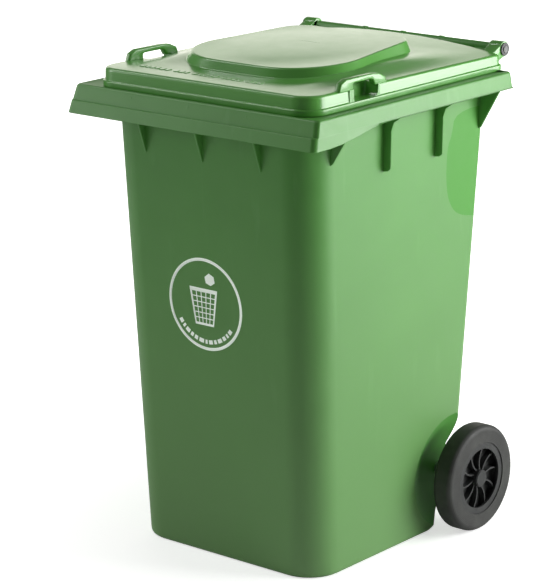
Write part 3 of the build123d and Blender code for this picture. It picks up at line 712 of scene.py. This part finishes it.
RUBBER_BLACK, RUBBER_DUSTY = (0.030, 0.031, 0.029, 1.0), (0.062, 0.064, 0.058, 1.0)
rubber = Finish("tyre rubber", Roughness=0.6, Specular_IOR_Level=0.4)
dust = rubber.noise(14.0, 5.0)
rubber.feed("Base Color", rubber.between(dust, 0.35, 0.75, RUBBER_BLACK, RUBBER_DUSTY))
rubber.feed("Roughness", 0.50 + 0.20 * rubber.noise(60.0, 3.0))
centred = {"Vector": rubber.place, "Location": (0.0, -AXLE.y, -AXLE.z), "Scale": (0.02, 1.0, 1.0)}
turned = rubber.node("ShaderNodeMapping", {}, centred).outputs[0]
rings = rubber.node("ShaderNodeTexWave", {"wave_type": "RINGS", "rings_direction": "X"},
                    {"Vector": turned, "Scale": 90.0, "Distortion": 0.3}).outputs["Fac"]
rubber_grain = rubber.relief(rubber.noise(500.0, 3.0), 0.35, 0.0004)
rubber.feed("Normal", rubber.relief(rings, 0.18, 0.0006, rubber_grain))
coat(rubber, *both("tyre"))

WHEEL_BLACK, WHEEL_GREY = (0.016, 0.017, 0.017, 1.0), (0.034, 0.036, 0.035, 1.0)
wheel_black = Finish("wheel polypropylene", Roughness=0.4)
mottle = wheel_black.noise(22.0, 4.0)
wheel_black.feed("Base Color", wheel_black.between(mottle, 0.3, 0.7, WHEEL_BLACK, WHEEL_GREY))
wheel_black.feed("Roughness", 0.34 + 0.16 * wheel_black.noise(80.0, 3.0))
wheel_black.feed("Normal", wheel_black.relief(wheel_black.noise(700.0, 2.0), 0.25, 0.0003))
coat(wheel_black, *both("wheel_centre", "hub_cap"))

NYLON_AGED, NYLON = (0.46, 0.45, 0.40, 1.0), (0.62, 0.61, 0.56, 1.0)
bush_nylon = Finish("bush nylon", Roughness=0.45)
yellowing = bush_nylon.noise(60.0, 3.0)
bush_nylon.feed("Base Color", bush_nylon.between(yellowing, 0.3, 0.7, NYLON_AGED, NYLON))
bush_nylon.feed("Roughness", 0.38 + 0.15 * bush_nylon.noise(120.0, 2.0))
bush_nylon.feed("Normal", bush_nylon.relief(bush_nylon.noise(800.0, 2.0), 0.2, 0.0002))
coat(bush_nylon, *both("hub_bush"))

# ================================================================ Axle
# A zinc-plated steel rod that lies in the tub's brackets, with a spacer, a washer and a retaining ring of the
# same steel at each end. The rings snap into turned grooves and keep the wheels on.

ZINC_DULL, ZINC_BRIGHT = (0.42, 0.43, 0.44, 1.0), (0.66, 0.67, 0.68, 1.0)
zinc = Finish("zinc-plated steel", Metallic=1.0, Roughness=0.35)
bloom = zinc.noise(35.0, 4.0)
zinc.feed("Base Color", zinc.between(bloom, 0.3, 0.75, ZINC_DULL, ZINC_BRIGHT))
zinc.feed("Roughness", 0.26 + 0.24 * zinc.noise(50.0, 4.0, (6.0, 1.0, 1.0)))
zinc.feed("Normal", zinc.relief(zinc.noise(300.0, 2.0, (0.08, 1.0, 1.0)), 0.2, 0.0002))
coat(zinc, "axle", *both("spacer", "washer", "retaining_ring"))

# ================================================================ Hinge pins
# Hollow headed pins of black acetal, pushed in from the outside through the lid's knuckles into the tub's
# hinge arms. Each is spread and closed by a grey polyethylene plug.

PIN_BLACK, PIN_GREY = (0.012, 0.013, 0.013, 1.0), (0.030, 0.031, 0.031, 1.0)
pin_plastic = Finish("hinge pin acetal", Roughness=0.4)
wear = pin_plastic.noise(70.0, 3.0)
pin_plastic.feed("Base Color", pin_plastic.between(wear, 0.3, 0.7, PIN_BLACK, PIN_GREY))
pin_plastic.feed("Roughness", 0.30 + 0.20 * pin_plastic.noise(150.0, 3.0))
pin_plastic.feed("Normal", pin_plastic.relief(pin_plastic.noise(900.0, 2.0), 0.3, 0.0002))
coat(pin_plastic, *both("hinge_pin"))

PLUG_DARK, PLUG_GREY = (0.13, 0.135, 0.13, 1.0), (0.20, 0.21, 0.20, 1.0)
plug_plastic = Finish("plug polyethylene", Roughness=0.45)
wear = plug_plastic.noise(90.0, 3.0)
plug_plastic.feed("Base Color", plug_plastic.between(wear, 0.3, 0.7, PLUG_DARK, PLUG_GREY))
plug_plastic.feed("Roughness", 0.38 + 0.18 * plug_plastic.noise(150.0, 3.0))
plug_plastic.feed("Normal", plug_plastic.relief(plug_plastic.noise(900.0, 2.0), 0.3, 0.0002))
coat(plug_plastic, *both("hinge_plug"))

# ================================================================ Emblem
# A white foil hot-stamped on the front wall: a ring, a wire litter basket with a paper ball above it, and a
# row of dashes inside the ring's lower side. The foil is a little worn, and shows the green in specks.

EMBLEM = (-0.019, 0.562)
FOIL_UNDER, FOIL_OVER = -0.0004, 0.0008
RING_OUTER, RING_INNER = 0.0999, 0.0935
ARC_OUTER, ARC_INNER, ARC_GAP = 0.0860, 0.0770, 3.0
FOIL_SHADED, FOIL_WHITE = (0.70, 0.80, 0.70, 1.0), (0.80, 0.88, 0.79, 1.0)
FOIL_WORN_GREEN = (0.28, 0.46, 0.26, 1.0)


def stamped(name, outline):
    """A flat foil shape on the front wall, from its outline round the emblem's centre."""
    mesh = slab([(EMBLEM[0] + x, EMBLEM[1] + z) for x, z in outline], "y", FOIL_UNDER, FOIL_OVER)
    for vert in mesh.verts:
        vert.co.y += wall_front(vert.co.z)
    return piece_of(name, mesh)


def arc(radius, turns):
    """Points on a circle round the emblem's centre, at some angles in radians."""
    return [(radius * math.cos(angle), radius * math.sin(angle)) for angle in turns]


def circle(radius):
    """A circle's outline."""
    return arc(radius, [2 * math.pi * step / ROUND_STEPS for step in range(ROUND_STEPS)])


def through(outline):
    """A cutter that passes right through the foil."""
    return slab([(EMBLEM[0] + x, EMBLEM[1] + z) for x, z in outline], "y", -0.5, 0.0)


def basket_at(across, height):
    """A point of the tapered basket, from its place across (-1 to 1) and up (0 to 1)."""
    return (-0.004 + across * (0.0250 + 0.0130 * height), -0.046 + 0.080 * height)


ring = stamped("emblem_ring", circle(RING_OUTER))
carve(ring, piece_of("ring_bore", through(circle(RING_INNER))))
basket = stamped("emblem_basket", [basket_at(-1, 0), basket_at(1, 0), basket_at(1, 1), basket_at(-1, 1)])
cells = []
columns, rows, wire = 5, 6, 0.085
for column in range(columns):
    for row in range(rows):
        west, east = (-0.90 + 1.80 * (column + part) / columns for part in (wire, 1 - wire))
        foot, top = (0.05 + 0.86 * (row + part) / rows for part in (wire, 1 - wire))
        cells.append(through([basket_at(west, foot), basket_at(east, foot), basket_at(east, top),
                              basket_at(west, top)]))
carve(basket, piece_of("basket_cells", gathered(cells)))
paper = stamped("emblem_paper", [(0.004, 0.047), (0.017, 0.043), (0.028, 0.050), (0.026, 0.063),
                                 (0.013, 0.069), (0.001, 0.060)])
emblem_pieces = [ring, basket, paper]
angle = -150.0
for index, long in enumerate((7, 4, 8, 5, 6, 9, 4, 7, 5, 8, 6, 4, 7)):
    turns = [math.radians(angle + long * part / 4) for part in range(5)]
    outline = arc(ARC_INNER, turns) + arc(ARC_OUTER, turns[::-1])
    emblem_pieces.append(stamped("emblem_dash_" + str(index + 1), outline))
    angle += long + ARC_GAP

# The foil glows faintly in its own colours: painted light that makes it brighter than the lamps leave it.
foil = Finish("emblem foil", Roughness=0.4, Emission_Strength=0.30)
worn = foil.noise(420.0, 4.0)
whites = foil.between(foil.noise(12.0, 2.0), 0.3, 0.7, FOIL_SHADED, FOIL_WHITE)
specked = foil.between(worn, 0.68, 0.76, whites, FOIL_WORN_GREEN)
foil.feed("Base Color", specked)
foil.feed("Emission Color", specked)
foil.feed("Roughness", 0.34 + 0.20 * foil.noise(90.0, 3.0))
foil.feed("Normal", foil.relief(foil.noise(900.0, 2.0), 0.15, 0.0002))
for piece in emblem_pieces:
    piece.data.materials.clear()
    piece.data.materials.append(foil.material)
    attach(piece, "bin")
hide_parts("front_emblem")

# ================================================================ Studio
# A pale floor that runs into a white backdrop, a large soft light on the bin's right side, weaker ones
# behind, above and in front of it, and a narrow one high up over its front edge. The camera stands a few
# metres off, above head height, with a long lens.

WHITE, BLACK = (1.0, 1.0, 1.0, 1.0), (0.0, 0.0, 0.0, 1.0)
FLOOR_PALE, FLOOR_NEAR = (0.86, 0.86, 0.86, 1.0), (0.58, 0.58, 0.58, 1.0)
ROOM_LIGHT = 0.11
floor_mesh = bmesh.new()
bmesh.ops.create_grid(floor_mesh, x_segments=1, y_segments=1, size=30.0)
floor = piece_of("studio_floor", floor_mesh)
floor_paint = Finish("studio floor", Base_Color=FLOOR_PALE, Roughness=0.9, Emission_Strength=1.0)
away = floor_paint.node("ShaderNodeVectorMath", {"operation": "LENGTH"}, {0: floor_paint.place})
glow = floor_paint.between(away.outputs["Value"], 0.35, 1.4, FLOOR_NEAR, WHITE)
direct = floor_paint.node("ShaderNodeLightPath").outputs["Is Camera Ray"]
floor_paint.feed("Emission Color", floor_paint.between(direct, 0.0, 1.0, BLACK, glow))
floor.data.materials.append(floor_paint.material)

world = bpy.data.worlds.new("studio")
bpy.context.scene.world = world
world.use_nodes = True
sky = world.node_tree
background = sky.nodes["Background"]
background.inputs["Color"].default_value = WHITE
background.inputs["Strength"].default_value = ROOM_LIGHT
seen = sky.nodes.new("ShaderNodeBackground")
seen.inputs["Color"].default_value = WHITE
chosen = sky.nodes.new("ShaderNodeMixShader")
sky.links.new(sky.nodes.new("ShaderNodeLightPath").outputs["Is Camera Ray"], chosen.inputs[0])
sky.links.new(background.outputs[0], chosen.inputs[1])
sky.links.new(seen.outputs[0], chosen.inputs[2])
sky.links.new(chosen.outputs[0], sky.nodes["World Output"].inputs["Surface"])


def softbox(name, place, target, size, power):
    """A rectangular area light at a place, turned towards a target."""
    lamp = bpy.data.lights.new(name, "AREA")
    lamp.shape = "RECTANGLE"
    lamp.size, lamp.size_y = size
    lamp.energy = power
    stand = bpy.data.objects.new(name, lamp)
    stand.location = place
    stand.rotation_euler = (Vector(target) - Vector(place)).to_track_quat("-Z", "Y").to_euler()
    bpy.context.scene.collection.objects.link(stand)
    return stand


softbox("side_softbox", (3.2, 2.4, 1.5), (0.0, 0.0, 0.6), (3.0, 2.6), 218.0)
softbox("top_softbox", (0.3, 1.2, 4.2), (0.0, 0.0, 0.9), (3.0, 3.0), 8.0)
softbox("back_softbox", (-4.3, 4.6, 1.7), (0.0, 0.0, 1.0), (6.0, 3.0), 82.0).data.color = (1.0, 0.99, 0.88)
softbox("edge_light", (-2.5, -1.2, 3.9), (0.0, 0.0, 1.0), (0.5, 2.5), 40.0)
softbox("front_fill", (-3.8, -2.6, 1.7), (0.0, 0.0, 0.5), (2.0, 2.0), 52.0)

CAMERA_PLACE = (3.4576, -4.2192, 2.0342)
bearing, rise, lean = math.radians(39.928), math.radians(15.428), math.radians(-0.601)
backward = Vector((math.sin(bearing) * math.cos(rise), -math.cos(bearing) * math.cos(rise), math.sin(rise)))
level_right = Vector((math.cos(bearing), math.sin(bearing), 0.0))
level_up = backward.cross(level_right)
camera_right = math.cos(lean) * level_right + math.sin(lean) * level_up
camera_up = -math.sin(lean) * level_right + math.cos(lean) * level_up
camera_turn = Matrix((camera_right, camera_up, backward)).transposed().to_4x4()
lens = bpy.data.cameras.new("camera")
lens.lens = 162.09
lens.sensor_width = 36.0
lens.clip_end = 100.0
camera = bpy.data.objects.new("camera", lens)
camera.matrix_world = Matrix.Translation(CAMERA_PLACE) @ camera_turn
bpy.context.scene.collection.objects.link(camera)
bpy.context.scene.camera = camera
bpy.context.scene.view_settings.view_transform = "Standard"
